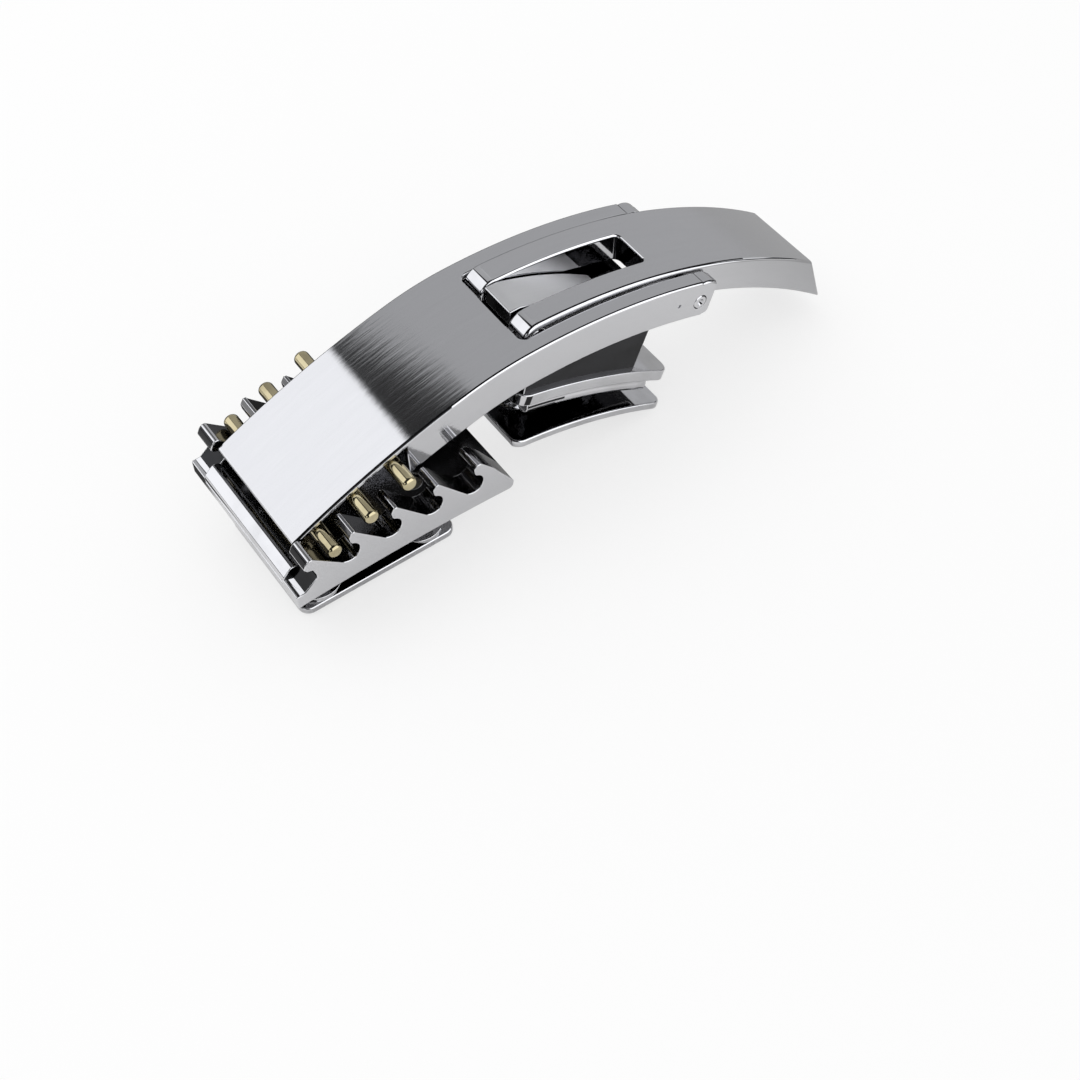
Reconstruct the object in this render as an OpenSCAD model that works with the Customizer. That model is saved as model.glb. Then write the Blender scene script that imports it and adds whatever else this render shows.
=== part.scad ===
// Adjustable lever buckle: a curved frame whose cross pins hook into a toothed rack,
// a long lever in the frame's fork, and a screwed mount hinged under the lever.
// Millimetres. X runs from the rack to the handle, Z is up, the floor is Z = 0.

/* [Frame] */
// Width of the frame over its flanges
frame_w = 36; // [34:0.5:36.5]
// Thickness of the frame's curved plate
frame_t = 1.8; // [1.4:0.1:2.0]
// Depth of the frame's side flanges, from the top surface
flange_h = 10.7; // [9.5:0.1:11.5]
// Thickness of the side flanges
flange_t = 1.8; // [1.2:0.1:2.0]
// Width of the slot between the fork arms
slot_w = 26.2; // [25.8:0.1:27]
// Diameter of the three cross pins
rack_pin_d = 4; // [3.4:0.1:4.2]
// Spacing of the cross pins and of the rack's pockets
pin_pitch = 11.5; // [11.2:0.1:11.8]

/* [Lever] */
// Width of the lever at its hinges
lever_w = 25.2; // [24:0.1:25.4]
// Width of the lever at the handle end
handle_w = 23.8; // [20:0.1:25]
// Width of the window in the lever
window_w = 11.4; // [11.2:0.1:12]
// Depth of the pocket in the handle's underside
handle_pocket_d = 5.2; // [2:0.1:6]
// Diameter of the two lever hinge pins
hinge_pin_d = 4; // [3:0.1:4.4]

/* [Mount] */
// Width of the mount's plate
mount_w = 31; // [28:0.5:31]
// Width of the mount's clamp plate
mount_clamp_w = 33; // [28:0.5:34]
// Length of the mount's clamp plate
mount_clamp_l = 49.5; // [46:0.5:50]
// Room for the belt between the mount and its clamp plate
mount_gap = 8.8; // [8:0.1:9.5]
// Spacing of the two mount screws
mount_screw_pitch = 24; // [20:0.5:26]

/* [Rack] */
// Width of the rack over its toothed rails
rack_w = 51; // [50:0.5:54]
// Thickness of each toothed rail
rail_t = 6.9; // [5:0.1:7]
// Diameter of the round pockets under the hooks
pocket_d = 5.6; // [5:0.1:5.8]
// Length and width of the rack's clamp plate
rack_clamp_size = [44.4, 37.2]; // [36:0.1:46]
// Room for the belt between the rack and its clamp plate
rack_gap = 14.3; // [13:0.1:16]
// Spacing of the four rack screws, along and across
rack_screw_pitch = [29.4, 23]; // [20:0.1:30]

/* [Screws] */
// Diameter of the rack screws' pan heads
pan_head_d = 11.6; // [9:0.1:12]
// Diameter of the mount screws' heads
cone_head_d = 10.6; // [9:0.1:11]
// Diameter of the screw shanks
shank_d = 5; // [4:0.1:5.2]
// How far the rack screws stand out of their clamp plate
rack_screw_proud = 1; // [0.9:0.1:6]
// Thickness of both clamp plates
clamp_t = 2.2; // [1.8:0.1:2.6]

/* [Hidden] */
$fn = 96;
big_fn = 360;          // for arcs of large radius
fit = 0.05;            // radial clearance of a pin in its bore
far = 400;             // reach of a cutting shape

// All points below are in a working frame, with its zero at the frame's left end.
// The frame's top surface is a chain of three arcs, each bending downwards.
// Each row: radius, turn in degrees.
arch = [[227, 13.5], [80, 12], [158.4, 21.5]];
arch_start_angle = 27.5;
arch_lap = 0.12;

function arch_angle(i) = i == 0 ? arch_start_angle : arch_angle(i - 1) - arch[i - 1][1];
function arch_centre(i) = arch_point(i) + arch[i][0] * [sin(arch_angle(i)), -cos(arch_angle(i))];
function arch_point(i) = i == 0 ? [0, 0]
    : arch_centre(i - 1) + arch[i - 1][0] * [-sin(arch_angle(i)), cos(arch_angle(i))];
// A point of arc i, at an angle from the vertical (left is positive) and a depth below the top
function on_arch(i, angle, depth) = arch_centre(i) + (arch[i][0] - depth) * [-sin(angle), cos(angle)];

// Cross pins: just below the plate, the first near the frame's left end
rack_pin_depth = 3.95;
first_pin_angle = 25.9;
pin_step = pin_pitch / (arch[0][0] - rack_pin_depth) * 180 / PI;
function rack_pin_at(k) = on_arch(0, first_pin_angle - (k - 1) * pin_step, rack_pin_depth);
rack_pin_l = 50.4;

// Fork
slot_start = 68.3;
slot_corner = 1.8;
flange_start = 32;
flange_taper = 4;
fork_end = on_arch(2, -18.25, flange_h / 2);
lever_pin_at = on_arch(2, -17.9, 6);
rib_y = 11.7;
rib_t = 3.6;
rib_depth = 6.8;
rib_end = 35;
dot_at = [112.2, 10.3];

// Lever
lever_top_centre = [69.4, -134.4];
lever_top_r = 157.4;
handle_end = [[163.4, -7.6], [168.6, -24.4]];
lever_bottom_centre = [55, -155.6];
lever_bottom_r = norm(handle_end[1] - lever_bottom_centre);
mount_pin_at = [73.3, 18.65];
lever_nose_r = 4.25;
taper_start = 124;
window_end = 110.6;
window_corner = 1.4;
handle_pocket_x = [128.5, 161];
handle_pocket_w = [18.8, 16.6];
pocket_mark_d = 8;

// Mount: its plate and its clamp plate each follow an arc
mount_centre = [31.9, -141];
mount_r = 149.4;
mount_t = 3.3;
mount_span = [57.3, 76.7];
mount_corner = 3.5;
block_w = 28.8;
block_top_centre = [76, -117];
block_top_r = 129;
block_end = [[101.4, -8.2], [106.3, 4], [111.2, 7.3]];
tongue_w = 10.6;
tongue_nose_r = 3;
tongue_centre = [46.3, -68.2];
tongue_r = 95;
belt_rail_y = 12.4;
belt_rail_w = 4;
belt_rail_h = 2.4;
belt_rail_span = [59.2, 75.4];
mount_screw_dir = 66.7;
mount_clamp_r = 137;
mount_clamp_dir = 72.5;
mount_clamp_shift = -0.6;
mount_post_d = 7.6;

// Rack
pocket_arc_centre = [25.7, -225.3];
pocket_arc_r = arch[0][0] - rack_pin_depth;
first_pocket_angle = 3.908;
function pocket_at(k) = pocket_arc_centre
    + pocket_arc_r * [-sin(first_pocket_angle - (k - 1) * pin_step), cos(first_pocket_angle - (k - 1) * pin_step)];
rack_x = [-4.6, 56.4];
rack_t = 2.4;
rack_bow_centre = [30, -461.3];
rack_bow_r = 450;
rack_corner = [[56.4, -10], [56.2, -11.2], [55, -12.4], [55, -30]];
hook_h = 6.2;
hook_flat = 1;
lip_r = 2;
lip_at = [[-2.6, -9.2], [-1.3, -7.9]];
rack_mid_x = 21.05;
rack_clamp_top = rack_bow_centre[1] + rack_bow_r - rack_gap;
rack_post_d = [8.4, 7.4];
rack_clamp_corner = 3;

// Screws and dimples
dimple_d = [13, 12.2];
dimple_depth = 2.1;
dimple_wall = 0.7;
dimple_rise = 1.2;
screw_hole_d = 6.6;
pan_head_t = 3;
recess_l = 5.6;
recess_w = 1.3;
recess_depth = 1.9;

// The rack screws' heads stand on the floor, and so does the lower mount screw's
floor_z = rack_clamp_top - clamp_t - rack_screw_proud;
working_shift = [-(rack_x[0] + handle_end[1][0]) / 2, 0, -floor_z];
mount_screw_reach = (mount_centre[1] + mount_r * sin(mount_screw_dir)
    - (mount_screw_pitch + cone_head_d) / 2 * cos(mount_screw_dir) - floor_z) / sin(mount_screw_dir);

// Draws a side view in X and Z, and gives it a width along Y
module side(w) {
    rotate([90, 0, 0]) linear_extrude(w, center = true) children();
}

// Moves a piece along Y to both sides
module both_sides(y) {
    for (s = [-1, 1]) translate([0, s * y, 0]) children();
}

// The part of the plane between two directions from the origin, in degrees
module wedge(a0, a1, reach) {
    polygon([[0, 0], reach * [cos(a0), sin(a0)], reach * [cos((a0 + a1) / 2), sin((a0 + a1) / 2)],
             reach * [cos(a1), sin(a1)]]);
}

// A curved strip between two radii and two directions
module sector(r_in, r_out, a0, a1) {
    intersection() {
        difference() {
            circle(r_out, $fn = big_fn);
            circle(r_in, $fn = big_fn);
        }
        wedge(a0, a1, 2 * r_out);
    }
}

// A strip that follows the frame's arch between two depths
module arch_band(depth0, depth1) {
    last = len(arch) - 1;
    for (i = [0 : last])
        translate(arch_centre(i))
            sector(arch[i][0] - depth1, arch[i][0] - depth0,
                   90 + arch_angle(i) - arch[i][1] - (i == 1 ? arch_lap : 0),
                   90 + arch_angle(i) + (i == 1 ? arch_lap : 0));
}

module rounded_rect(l, w, r) {
    square([l - 2 * r, w], center = true);
    square([l, w - 2 * r], center = true);
    for (x = [-1, 1], y = [-1, 1])
        translate([x * (l / 2 - r), y * (w / 2 - r)]) circle(r);
}

// A cylinder along Y at a point of the side view
module cross_bar(at, d, l) {
    translate([at[0], 0, at[1]]) rotate([90, 0, 0]) cylinder(d = d, h = l, center = true);
}

module working_frame() {
    translate(working_shift) children();
}

// Everything left of the fork's rounded end
module fork_zone() {
    translate(fork_end) circle(flange_h / 2);
    translate([-far, -far]) square([far + fork_end[0], 2 * far]);
}

module frame_flange() {
    side(flange_t) intersection() {
        arch_band(0, flange_h);
        polygon([[flange_start, far], [flange_start, on_arch(0, 20.5, 3)[1]], [flange_start + flange_taper, -far],
                 [far, -far], [far, far]]);
        fork_zone();
    }
}

module frame_rib() {
    side(rib_t) intersection() {
        arch_band(0, rib_depth);
        translate([rib_depth / 2, -far]) square([rib_end - rib_depth / 2, 2 * far]);
    }
}

module frame() {
    color("silver") working_frame() difference() {
        union() {
            side(frame_w) intersection() {
                arch_band(0, frame_t);
                fork_zone();
            }
            both_sides((frame_w - flange_t) / 2) frame_flange();
            both_sides(rib_y) frame_rib();
        }
        translate([slot_start + far / 2, 0, -far / 2]) linear_extrude(far)
            rounded_rect(far, slot_w, slot_corner);
        for (k = [1 : 3]) cross_bar(rack_pin_at(k), rack_pin_d + 2 * fit, frame_w - 2 * flange_t);
        cross_bar(lever_pin_at, hinge_pin_d + 2 * fit, frame_w + 1);
        translate([0, -frame_w / 2, 0]) cross_bar(dot_at, 1, 0.8);
    }
}

// A brass pin with rounded ends
module rack_pin(k) {
    color("darkgoldenrod") working_frame() intersection() {
        cross_bar(rack_pin_at(k), rack_pin_d, rack_pin_l);
        union() {
            cross_bar(rack_pin_at(k), 2 * rack_pin_d, rack_pin_l - 6);
            both_sides(rack_pin_l / 2 - 3) translate([rack_pin_at(k)[0], 0, rack_pin_at(k)[1]]) sphere(r = 3);
        }
    }
}

// A riveted pin with a dimple punched in each end
module rivet(at, l) {
    color("silver") working_frame() difference() {
        cross_bar(at, hinge_pin_d, l);
        both_sides(l / 2) cross_bar(at, hinge_pin_d / 2, 0.8);
    }
}

module lever_outline() {
    difference() {
        intersection() {
            translate(lever_top_centre) circle(lever_top_r, $fn = big_fn);
            polygon([[mount_pin_at[0], far], mount_pin_at, [mount_pin_at[0], -far],
                     handle_end[1] + far * (handle_end[1] - handle_end[0]) / 20,
                     handle_end[1], handle_end[0],
                     handle_end[0] + far * (handle_end[0] - handle_end[1]) / 20]);
        }
        translate(lever_bottom_centre) circle(lever_bottom_r, $fn = big_fn);
    }
    translate(mount_pin_at) circle(lever_nose_r);
}

module lever_plan() {
    end_x = handle_end[1][0] + 1;
    polygon([[0, -lever_w / 2], [taper_start, -lever_w / 2], [end_x, -handle_w / 2],
             [end_x, handle_w / 2], [taper_start, lever_w / 2], [0, lever_w / 2]]);
}

// Where a point of the lever's underside lies, as a direction from its centre
function under_angle(x) = acos((x - lever_bottom_centre[0]) / lever_bottom_r);

// A cutting shape for the handle's pocket: its mouth tapers a little towards the handle's end
module handle_pocket() {
    intersection() {
        side(far) translate(lever_bottom_centre) intersection() {
            circle(lever_bottom_r + handle_pocket_d, $fn = big_fn);
            wedge(under_angle(handle_pocket_x[1]), under_angle(handle_pocket_x[0]), 2 * lever_bottom_r);
        }
        translate([0, 0, -far / 2]) linear_extrude(far)
            polygon([for (p = [[0, -1], [0, 1], [1, 1], [1, -1]])
                [handle_pocket_x[p[0]] + (p[0] ? 9 : -9), p[1] * handle_pocket_w[p[0]] / 2]]);
    }
    mark_angle = (under_angle(handle_pocket_x[0]) + under_angle(handle_pocket_x[1])) / 2;
    translate([lever_bottom_centre[0], 0, lever_bottom_centre[1]]) rotate([0, 90 - mark_angle, 0])
        translate([0, 0, lever_bottom_r]) difference() {
            cylinder(d = pocket_mark_d, h = handle_pocket_d + 0.2);
            cylinder(d = pocket_mark_d - 0.5, h = handle_pocket_d + 1);
        }
}

module lever() {
    color("silver") working_frame() difference() {
        intersection() {
            side(lever_w) lever_outline();
            translate([0, 0, -far / 2]) linear_extrude(far) lever_plan();
        }
        translate([window_end - far / 2, 0, -far / 2]) linear_extrude(far)
            rounded_rect(far, window_w, window_corner);
        handle_pocket();
        cross_bar(lever_pin_at, hinge_pin_d + 2 * fit, far);
        cross_bar(mount_pin_at, hinge_pin_d + 2 * fit, far);
    }
}

// Places children at a direction and radius from the mount's centre, with Z pointing outwards
module on_mount(angle, r) {
    translate([mount_centre[0] + r * cos(angle), 0, mount_centre[1] + r * sin(angle)])
        rotate([0, 90 - angle, 0]) children();
}

// Both mount screws' axes: origin on the plate's top surface, Z pointing up through it
module mount_screw_axis(s) {
    on_mount(mount_screw_dir, mount_r) translate([s * mount_screw_pitch / 2, 0, 0]) children();
}

module mount_band(r_in, r_out, span) {
    translate(mount_centre) sector(r_in, r_out, span[0], span[1]);
}

// Everything between the block's left face and its leaning right face
module block_zone() {
    left = mount_span[1] - 0.4;
    polygon([mount_centre, mount_centre + 2 * mount_r * [cos(left), sin(left)],
             block_end[2] + [0, 100], block_end[2], block_end[1], block_end[0]]);
}

// Everything under the tongue's top: level with the lever at its nose, then sloping down
module tongue_top() {
    intersection() {
        translate(tongue_centre) circle(tongue_r, $fn = big_fn);
        translate(lever_top_centre) circle(lever_top_r - 0.1, $fn = big_fn);
    }
}

// The block under the lever, and the tongue that stands on it inside the lever's window
module block_and_tongue() {
    side(block_w) difference() {
        intersection() {
            block_zone();
            translate(block_top_centre) circle(block_top_r, $fn = big_fn);
        }
        translate(mount_centre) circle(mount_r - 1, $fn = big_fn);
    }
    side(tongue_w) {
        difference() {
            intersection() {
                tongue_top();
                block_zone();
                translate([mount_pin_at[0], -far]) square(2 * far);
            }
            translate(block_top_centre) circle(block_top_r - 2, $fn = big_fn);
        }
        translate(mount_pin_at) circle(tongue_nose_r);
        intersection() {
            tongue_top();
            translate(mount_pin_at - [tongue_nose_r, 0]) square([tongue_nose_r + 0.5, 10]);
        }
    }
}

module mount() {
    post_l = mount_t + mount_gap - dimple_rise - 0.3;
    color("silver") working_frame() difference() {
        union() {
            intersection() {
                side(far) mount_band(mount_r - mount_t, mount_r, mount_span + [-2, 2]);
                on_mount((mount_span[0] + mount_span[1]) / 2, 0) linear_extrude(far)
                    rounded_rect((mount_span[1] - mount_span[0]) * mount_r * PI / 180, mount_w, mount_corner);
            }
            block_and_tongue();
            both_sides(belt_rail_y) {
                side(belt_rail_w - 0.6)
                    mount_band(mount_r - mount_t - belt_rail_h, mount_r - 1, belt_rail_span + [0.3, -0.3]);
                translate([mount_centre[0], 0, mount_centre[1]]) rotate([90, 0, 0])
                    rotate([0, 0, belt_rail_span[0]])
                    rotate_extrude(angle = belt_rail_span[1] - belt_rail_span[0], $fn = big_fn)
                    translate([mount_r - mount_t - belt_rail_h, 0]) circle(d = belt_rail_w, $fn = 48);
            }
            for (s = [-1, 1])
                mount_screw_axis(s) translate([0, 0, -post_l]) cylinder(d = mount_post_d, h = post_l - 1);
        }
        cross_bar(mount_pin_at, hinge_pin_d + 2 * fit, far);
        for (s = [-1, 1])
            mount_screw_axis(s) translate([0, 0, -post_l - 2]) cylinder(d = shank_d + 2 * fit, h = post_l + 4);
    }
}

// Material pressed up round a screw hole, from the clamp plate's outer face
module dimple_boss() {
    cylinder(d1 = dimple_d[0] + 2 * dimple_wall, d2 = dimple_d[1] + 2 * dimple_wall, h = clamp_t + dimple_rise);
}

// The screw hole and its dish, cut from the clamp plate's outer face
module dimple_hole() {
    cylinder(d = screw_hole_d, h = 20, center = true);
    cylinder(d1 = dimple_d[0], d2 = dimple_d[1], h = dimple_depth);
    translate([0, 0, -4]) cylinder(d = dimple_d[0], h = 4);
}

mount_clamp_depth = mount_t + mount_gap + clamp_t;
mount_clamp_mid = mount_centre + (mount_r - mount_clamp_depth) * [cos(mount_screw_dir), sin(mount_screw_dir)];

// The clamp plate's outer surface passes through the foot of the middle line between the screws
mount_clamp_centre = mount_clamp_mid
    - (mount_clamp_r - clamp_t) * [cos(mount_clamp_dir), sin(mount_clamp_dir)];

module mount_clamp() {
    half = mount_clamp_l / 2 / mount_clamp_r * 180 / PI;
    middle = mount_clamp_dir + mount_clamp_shift;
    color("silver") working_frame() difference() {
        intersection() {
            union() {
                side(far) translate(mount_clamp_centre)
                    sector(mount_clamp_r - clamp_t, mount_clamp_r, middle - half, middle + half);
                for (s = [-1, 1])
                    mount_screw_axis(s) translate([0, 0, -mount_clamp_depth - 0.2]) dimple_boss();
            }
            translate([mount_clamp_centre[0], 0, mount_clamp_centre[1]])
                rotate([0, 90 - middle, 0]) linear_extrude(far)
                rounded_rect(mount_clamp_l, mount_clamp_w, mount_corner);
        }
        for (s = [-1, 1])
            mount_screw_axis(s) translate([0, 0, -mount_clamp_depth - 0.2]) dimple_hole();
    }
}

// A cross-shaped driver recess, cut down from Z = 0
module driver_recess() {
    for (a = [0, 90])
        rotate([0, 0, a]) translate([-recess_l / 2, -recess_w / 2, -1]) cube([recess_l, recess_w, recess_depth + 1]);
    rotate([0, 0, 45]) translate([-recess_w, -recess_w, -1]) cube([2 * recess_w, 2 * recess_w, recess_depth + 0.6]);
}

// A pan head screw, its head's top at Z = 0 and its shank along +Z
module pan_screw(shank_l, turn) {
    difference() {
        union() {
            rotate_extrude() {
                square([pan_head_d / 2 - 1, pan_head_t]);
                translate([0, 1]) square([pan_head_d / 2, pan_head_t - 1]);
                translate([pan_head_d / 2 - 1, 1]) circle(1, $fn = 48);
            }
            cylinder(d = shank_d, h = pan_head_t + shank_l);
        }
        rotate([0, 0, turn]) driver_recess();
    }
}

// A screw with a flat rim, a conical underside and a smooth neck
module cone_screw(shank_l, turn) {
    difference() {
        union() {
            cylinder(d = cone_head_d, h = 1);
            translate([0, 0, 1]) cylinder(d1 = cone_head_d, d2 = shank_d, h = 2.8);
            cylinder(d = shank_d, h = shank_l);
        }
        rotate([0, 0, turn]) driver_recess();
    }
}

module mount_screw(k) {
    s = k == 1 ? -1 : 1;
    reach = k == 1 ? mount_screw_reach - 0.6 : mount_screw_reach;
    color("darkkhaki") working_frame()
        mount_screw_axis(s) translate([0, 0, -reach]) cone_screw(reach + 1.5, k == 1 ? 20 : 65);
}

module rail_outline() {
    intersection() {
        difference() {
            polygon([[rack_x[0], -30], [rack_x[0], -8.6], [-2.2, -8.4], [1.5, -5.4], [1.5, -4.4], [0.7, -1.9],
                     [-0.7, -1.5], [-1.4, -0.4], [-0.6, 1.2], [0.2, 1.9], [1.1, 1.9], [6, 8], [50, 8],
                     pocket_at(4) + [2.4, hook_h], [50.8, -1], [55.9, -8.9], each rack_corner]);
            translate(rack_bow_centre) circle(rack_bow_r, $fn = big_fn);
        }
        translate(pocket_arc_centre) circle(pocket_arc_r + hook_h, $fn = big_fn);
    }
}

// A round pocket with a ramp down to it from the hook on its left, and a nose over its right half
module rack_pocket(k) {
    foot = pocket_at(k);
    tip = k == 1 ? [1.1, 1.9] : pocket_at(k - 1) + [1.3 + hook_flat, hook_h - 0.2];
    translate(foot) circle(d = pocket_d, $fn = 48);
    polygon([foot + [0, -pocket_d / 2], foot + [-1.9, -pocket_d / 2 + 0.5], tip, tip + [1, 6],
             foot + [0.9, 12], foot + [1.3, hook_h], foot + [0.45, 4.8], foot + [0.6, 3.3], foot + [1.1, 2.4],
             foot + [1.1, 0]]);
}

module rack() {
    color("lightgray") working_frame() difference() {
        union() {
            both_sides((rack_w - rail_t) / 2) side(rail_t) difference() {
                rail_outline();
                for (k = [1 : 4]) rack_pocket(k);
            }
            side(rack_w) intersection() {
                translate(rack_bow_centre) difference() {
                    circle(rack_bow_r + rack_t, $fn = big_fn);
                    circle(rack_bow_r, $fn = big_fn);
                }
                polygon([[rack_x[0], -30], [rack_x[0], 30], [rack_x[1], 30], each rack_corner]);
            }
            side(rack_w - 2 * rail_t + 1) hull()
                for (p = lip_at) translate(p) circle(lip_r);
            for (x = [-1, 1], y = [-1, 1])
                translate([rack_mid_x + x * rack_screw_pitch[0] / 2, y * rack_screw_pitch[1] / 2,
                           rack_clamp_top + dimple_rise + 0.1])
                    cylinder(d1 = rack_post_d[1], d2 = rack_post_d[0], h = rack_gap - dimple_rise + 0.4);
        }
        for (x = [-1, 1], y = [-1, 1])
            translate([rack_mid_x + x * rack_screw_pitch[0] / 2, y * rack_screw_pitch[1] / 2, -40])
                cylinder(d = shank_d + 2 * fit, h = 60);
    }
}

module rack_clamp() {
    color("silver") working_frame() translate([rack_mid_x, 0, rack_clamp_top - clamp_t]) difference() {
        union() {
            linear_extrude(clamp_t) rounded_rect(rack_clamp_size[0], rack_clamp_size[1], rack_clamp_corner);
            intersection() {
                for (x = [-1, 1], y = [-1, 1])
                    translate([x * rack_screw_pitch[0] / 2, y * rack_screw_pitch[1] / 2, 0]) dimple_boss();
                linear_extrude(20) rounded_rect(rack_clamp_size[0], rack_clamp_size[1], rack_clamp_corner);
            }
        }
        for (x = [-1, 1], y = [-1, 1])
            translate([x * rack_screw_pitch[0] / 2, y * rack_screw_pitch[1] / 2, 0]) dimple_hole();
    }
}

module rack_screw(k) {
    x = k <= 2 ? -1 : 1;
    y = k % 2 == 0 ? 1 : -1;
    color("darkkhaki") working_frame()
        translate([rack_mid_x + x * rack_screw_pitch[0] / 2, y * rack_screw_pitch[1] / 2, floor_z])
        pan_screw(rack_screw_proud - pan_head_t + clamp_t + rack_gap + 1.6, [35, 70, 10, 55][k - 1]);
}

frame();
rack_pin(1);  // rack_pin_1
rack_pin(2);  // rack_pin_2
rack_pin(3);  // rack_pin_3
rivet(lever_pin_at, frame_w + 0.3);  // lever_pin
lever();
rivet(mount_pin_at, lever_w - 0.4);  // mount_pin
mount();
mount_clamp();
mount_screw(1);  // mount_screw_1
mount_screw(2);  // mount_screw_2
rack();
rack_clamp();
rack_screw(1);  // rack_screw_1
rack_screw(2);  // rack_screw_2
rack_screw(3);  // rack_screw_3
rack_screw(4);  // rack_screw_4
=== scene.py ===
"""Lever buckle: its finished surfaces, lights and camera, built round the fixed solids."""

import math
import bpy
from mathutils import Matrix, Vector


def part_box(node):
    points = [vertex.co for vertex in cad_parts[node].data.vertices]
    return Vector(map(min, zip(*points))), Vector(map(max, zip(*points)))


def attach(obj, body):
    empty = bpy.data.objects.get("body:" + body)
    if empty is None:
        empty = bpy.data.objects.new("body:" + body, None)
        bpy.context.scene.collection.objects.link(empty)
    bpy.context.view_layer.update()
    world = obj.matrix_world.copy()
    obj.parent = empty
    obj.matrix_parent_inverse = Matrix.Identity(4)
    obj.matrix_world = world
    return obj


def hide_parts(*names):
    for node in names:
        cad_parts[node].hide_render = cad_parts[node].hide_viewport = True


bl_info = {
    "name": "Lever Buckle",
    "version": (1, 0, 0),
    "blender": (4, 5, 0),
    "location": "View3D > Sidebar > Buckle",
    "description": "Finishes the castings, pins and screws of a lever buckle",
    "category": "Object",
}

import bmesh
import bpy
from mathutils import Matrix, Vector

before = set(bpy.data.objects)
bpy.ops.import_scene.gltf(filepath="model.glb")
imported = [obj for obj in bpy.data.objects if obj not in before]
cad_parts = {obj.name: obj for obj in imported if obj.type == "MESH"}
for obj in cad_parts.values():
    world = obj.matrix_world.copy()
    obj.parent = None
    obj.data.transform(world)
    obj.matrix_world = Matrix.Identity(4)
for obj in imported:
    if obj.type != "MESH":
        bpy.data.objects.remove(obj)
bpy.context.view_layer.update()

MM = 0.001
WELD = 1e-6

# Side-view circles that the castings' grain follows: centre X and Z, and radius
ARCH_CIRCLE = (-19.0 * MM, -112.0 * MM, 162.0 * MM)
LEVER_CIRCLE = (-12.6 * MM, -105.6 * MM, 157.4 * MM)
MOUNT_CIRCLE = (-50.1 * MM, -112.2 * MM, 149.4 * MM)
RACK_CIRCLE = (-52.0 * MM, -432.5 * MM, 452.4 * MM)

# The top of the mount's block in the same view
BLOCK_CIRCLE = (-6.0 * MM, -88.2 * MM, 129.0 * MM)

# Punch mark in the frame's sides, and the X before which the painted dark line along its edges is thick
PUNCH_MARK = Vector((30.2 * MM, 0, 39.1 * MM))
THICK_LINE_END = -34.5 * MM

# The mount's screws stand on a line through its centre of curvature
MOUNT_SCREW_TILT = math.radians(90 - 66.7)
MOUNT_SCREW_PITCH = 24 * MM
MOUNT_SCREW_REACH = 19.79 * MM
MOUNT_HEAD_RADIUS = 5.3 * MM
MOUNT_HEAD_RIM = 1 * MM
MOUNT_HEAD_CONE = 2.8 * MM

PAN_HEAD_HEIGHT = 3 * MM
SHANK_RADIUS = 2.5 * MM

# The driver recess: its wings' thickness, how far they narrow, and the core's radius at its foot and mouth
WING_THICKNESS = 1.15 * MM
WING_TAPER = 0.42
CORE_RADII = (0.2 * MM, 1.75 * MM)

# The mount's and the rack's edge rounding, as shares of the frame's
MOUNT_EDGE_SHARE = 0.47
RACK_EDGE_SHARE = 0.4

# Material slots of the frame, the lever and the mount; the middle one holds painted shade
GROUND, PAINTED_SHADE, BRIGHT = 0, 1, 2

# Sockets of a Mix node, for numbers and for colours
FACTOR, NUMBER_A, NUMBER_B, COLOUR_A, COLOUR_B = 0, 2, 3, 6, 7
NUMBER_OUT, COLOUR_OUT = 0, 2

GRAIN = "Grain"

# What polished metal mirrors in the sky: a dark base, and panels of light given by direction,
# sideways direction, half width, half height, edge softness and brightness
SKY_BASE = 0.035
SKY_PANELS = (
    ((0.55, 0.68, 0.48), (0.426, 0.266, -0.864), 0.78, 0.85, 0.03, 0.62),
    ((-0.61, 0.556, 0.565), (0.767, 0.234, 0.598), 0.50, 0.40, 0.02, 1.65),
    ((0.35, -0.875, 0.485), (1.0, 0.4, 0.0), 0.90, 0.60, 0.04, 2.20),
    ((-0.85, -0.35, 0.30), (0.4, -1.0, 0.0), 0.25, 0.16, 0.04, 1.80),
    ((0.97, 0.05, 0.25), (0.0, 1.0, 0.0), 0.30, 0.14, 0.04, 1.00),
)

# Painted dark reflections, patches where the floor that it mirrors is darker: middle X and Y, half length,
# half width, edge softness and share of light
PAINTED_DARK_REFLECTIONS = (
    ((0.000, 0.1300), 0.120, 0.0950, 0.010, 0.06),
    ((1.620, 1.000), 1.500, 1.100, 0.060, 0.50),
)

FLOOR_SIZE = 6

# The floor as the camera sees it: the share that takes shadows, and the share that glows
FLOOR_SHADED = 0.3
FLOOR_GLOW = 0.73

LAMP_PLACE = Vector((-0.5, 0.5, 1.1))
LAMP_SIZE = 0.9
LAMP_POWER = 2.5

CAMERA_PLACE = Vector((-162.71, -237.88, 332.07)) * MM
CAMERA_TARGET = Vector((-35.594, -50.737, 30.0)) * MM
CAMERA_ROLL = math.radians(-1.5147)
CAMERA_LENS = 55.112


# Tools for modelling


def select_none():
    """Goes to object mode with nothing selected."""
    if bpy.context.object and bpy.context.object.mode != "OBJECT":
        bpy.ops.object.mode_set(mode="OBJECT")
    bpy.ops.object.select_all(action="DESELECT")


def select_only(piece):
    """Leaves one piece selected and active, in object mode."""
    select_none()
    piece.select_set(True)
    bpy.context.view_layer.objects.active = piece


def edit(piece, parts):
    """Opens a piece in edit mode with nothing selected."""
    select_only(piece)
    bpy.ops.object.mode_set(mode="EDIT")
    bpy.ops.mesh.select_mode(type=parts)
    bpy.ops.mesh.select_all(action="DESELECT")


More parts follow.
